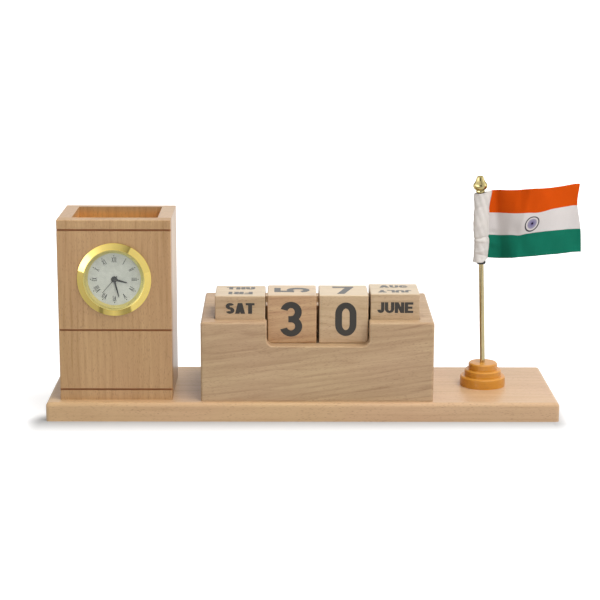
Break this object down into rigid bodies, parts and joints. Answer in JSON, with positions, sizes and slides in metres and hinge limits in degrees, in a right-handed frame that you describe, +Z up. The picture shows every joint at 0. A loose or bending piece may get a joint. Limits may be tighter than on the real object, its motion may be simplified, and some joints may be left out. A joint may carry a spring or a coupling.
{
  "type": "desk clock with calendar",
  "caption": "Beech desk set with a pen stand holding an inset quartz clock, a block of calendar cubes and a small table flag on a brass pole.",
  "frame": {"origin": "middle of the base board's underside", "axes": "+X along the board from the pen stand to the flag, -Y towards the front with the clock's dial, +Z up"},
  "size_m": [0.3292, 0.0888, 0.1451],
  "materials": {
    "beech": "satin, close straight grain",
    "orange_lacquer": "glossy lacquer",
    "zinc_steel": "zinc plated",
    "brass": "polished",
    "spring_brass": "bright strip",
    "wheel_brass": "bright",
    "gold_plate": "polished plate",
    "black_rubber": "dull",
    "flag_fabric": "printed satin",
    "crystal": "clear",
    "dial_paint": "satin white",
    "hand_paint": "black lacquer",
    "black_plastic": "moulded",
    "bright_steel": "bright",
    "magnet": "sintered",
    "copper_wire": "enamelled wire",
    "circuit_green": "coated",
    "movement_plate": "moulded"
  },
  "bodies": {
    "desk_set": {"base_board": "beech", "pen_stand_front": "beech", "pen_stand_back": "beech", "pen_stand_left": "beech", "pen_stand_right": "beech", "pen_stand_floor": "beech", "calendar_block": "beech", "flag_base": "orange_lacquer", "block_screws": "zinc_steel", "short_screws": "zinc_steel"},
    "day_cube": {"day_cube": "beech"},
    "digit_cube_left": {"digit_cube_left": "beech"},
    "digit_cube_right": {"digit_cube_right": "beech"},
    "month_cube": {"month_cube": "beech"},
    "pole": {"flag_pole": "brass", "stop_ring": "black_rubber", "finial": "brass"},
    "flag": {"flag_cloth": "flag_fabric"},
    "clock": {"clock_bezel": "gold_plate", "clock_crystal": "crystal", "inner_ring": "gold_plate", "clock_dial": "dial_paint", "clock_case": "black_plastic", "grip_band": "black_rubber", "case_back": "black_plastic", "button_cell": "bright_steel", "stator": "bright_steel", "coil_core": "bright_steel", "coil_winding": "copper_wire", "circuit_board": "circuit_green", "chip": "black_plastic", "quartz_can": "bright_steel", "plus_contact": "spring_brass", "minus_contact": "spring_brass", "main_plate": "movement_plate", "train_bridge": "movement_plate", "bridge_screws": "bright_steel"},
    "battery_hatch": {"battery_hatch": "black_plastic"},
    "minute_hand": {"minute_hand": "hand_paint", "cannon_pinion": "wheel_brass"},
    "hour_hand": {"hour_hand": "hand_paint", "hour_wheel": "wheel_brass"},
    "minute_wheel": {"minute_wheel": "wheel_brass"},
    "setting_knob": {"setting_knob": "black_plastic"},
    "second_hand": {"second_hand": "hand_paint", "second_wheel": "wheel_brass"},
    "third_wheel": {"third_wheel": "wheel_brass"},
    "centre_wheel": {"centre_wheel": "wheel_brass"},
    "intermediate_wheel": {"intermediate_wheel": "wheel_brass"},
    "rotor": {"rotor": "magnet"}
  },
  "joints": [
    {"name": "day_cube_lift", "type": "slide", "parent": "desk_set", "child": "day_cube", "axis": [0, 0, 1], "range_m": [0, 0.04]},
    {"name": "digit_cube_left_lift", "type": "slide", "parent": "desk_set", "child": "digit_cube_left", "axis": [0, 0, 1], "range_m": [0, 0.04]},
    {"name": "digit_cube_right_lift", "type": "slide", "parent": "desk_set", "child": "digit_cube_right", "axis": [0, 0, 1], "range_m": [0, 0.04]},
    {"name": "month_cube_lift", "type": "slide", "parent": "desk_set", "child": "month_cube", "axis": [0, 0, 1], "range_m": [0, 0.04]},
    {"name": "pole_lift", "type": "slide", "parent": "desk_set", "child": "pole", "axis": [-0.0384, 0, 0.9993], "range_m": [0, 0.03]},
    {"name": "flag_turn", "type": "hinge", "parent": "pole", "child": "flag", "pos_m": [0.11389, 0, 0.0262], "axis": [-0.0384, 0, 0.9993], "continuous": true},
    {"name": "clock_pull", "type": "slide", "parent": "desk_set", "child": "clock", "axis": [0, -1, 0], "range_m": [0, 0.03]},
    {"name": "battery_hatch_turn", "type": "hinge", "parent": "clock", "child": "battery_hatch", "pos_m": [-0.1141, -0.03695, 0.07635], "axis": [0, -1, 0], "range_deg": [0, 50]},
    {"name": "minute_hand_turn", "type": "hinge", "parent": "clock", "child": "minute_hand", "pos_m": [-0.1141, -0.03695, 0.08695], "axis": [0, 1, 0], "continuous": true},
    {"name": "hour_hand_turn", "type": "hinge", "parent": "clock", "child": "hour_hand", "pos_m": [-0.1141, -0.03695, 0.08695], "axis": [0, 1, 0], "continuous": true},
    {"name": "minute_wheel_turn", "type": "hinge", "parent": "clock", "child": "minute_wheel", "pos_m": [-0.11146, -0.03695, 0.08238], "axis": [0, 1, 0], "continuous": true},
    {"name": "setting_knob_turn", "type": "hinge", "parent": "clock", "child": "setting_knob", "pos_m": [-0.10648, -0.03695, 0.0815], "axis": [0, 1, 0], "continuous": true},
    {"name": "second_hand_turn", "type": "hinge", "parent": "clock", "child": "second_hand", "pos_m": [-0.1141, -0.03695, 0.08695], "axis": [0, 1, 0], "continuous": true},
    {"name": "third_wheel_turn", "type": "hinge", "parent": "clock", "child": "third_wheel", "pos_m": [-0.11846, -0.03695, 0.08947], "axis": [0, 1, 0], "continuous": true},
    {"name": "centre_wheel_turn", "type": "hinge", "parent": "clock", "child": "centre_wheel", "pos_m": [-0.1141, -0.03695, 0.08695], "axis": [0, 1, 0], "continuous": true},
    {"name": "intermediate_wheel_turn", "type": "hinge", "parent": "clock", "child": "intermediate_wheel", "pos_m": [-0.10914, -0.03695, 0.08876], "axis": [0, 1, 0], "continuous": true},
    {"name": "rotor_turn", "type": "hinge", "parent": "clock", "child": "rotor", "pos_m": [-0.10662, -0.03695, 0.09312], "axis": [0, 1, 0], "continuous": true}
  ],
  "couplings": [
    {"joint": "hour_hand_turn", "follows": "minute_hand_turn", "ratio": 0.083333},
    {"joint": "minute_wheel_turn", "follows": "minute_hand_turn", "ratio": -0.33333},
    {"joint": "setting_knob_turn", "follows": "minute_hand_turn", "ratio": 1.2},
    {"joint": "third_wheel_turn", "follows": "second_hand_turn", "ratio": -0.125},
    {"joint": "centre_wheel_turn", "follows": "second_hand_turn", "ratio": 0.016667},
    {"joint": "intermediate_wheel_turn", "follows": "second_hand_turn", "ratio": -5},
    {"joint": "rotor_turn", "follows": "second_hand_turn", "ratio": 30}
  ]
}
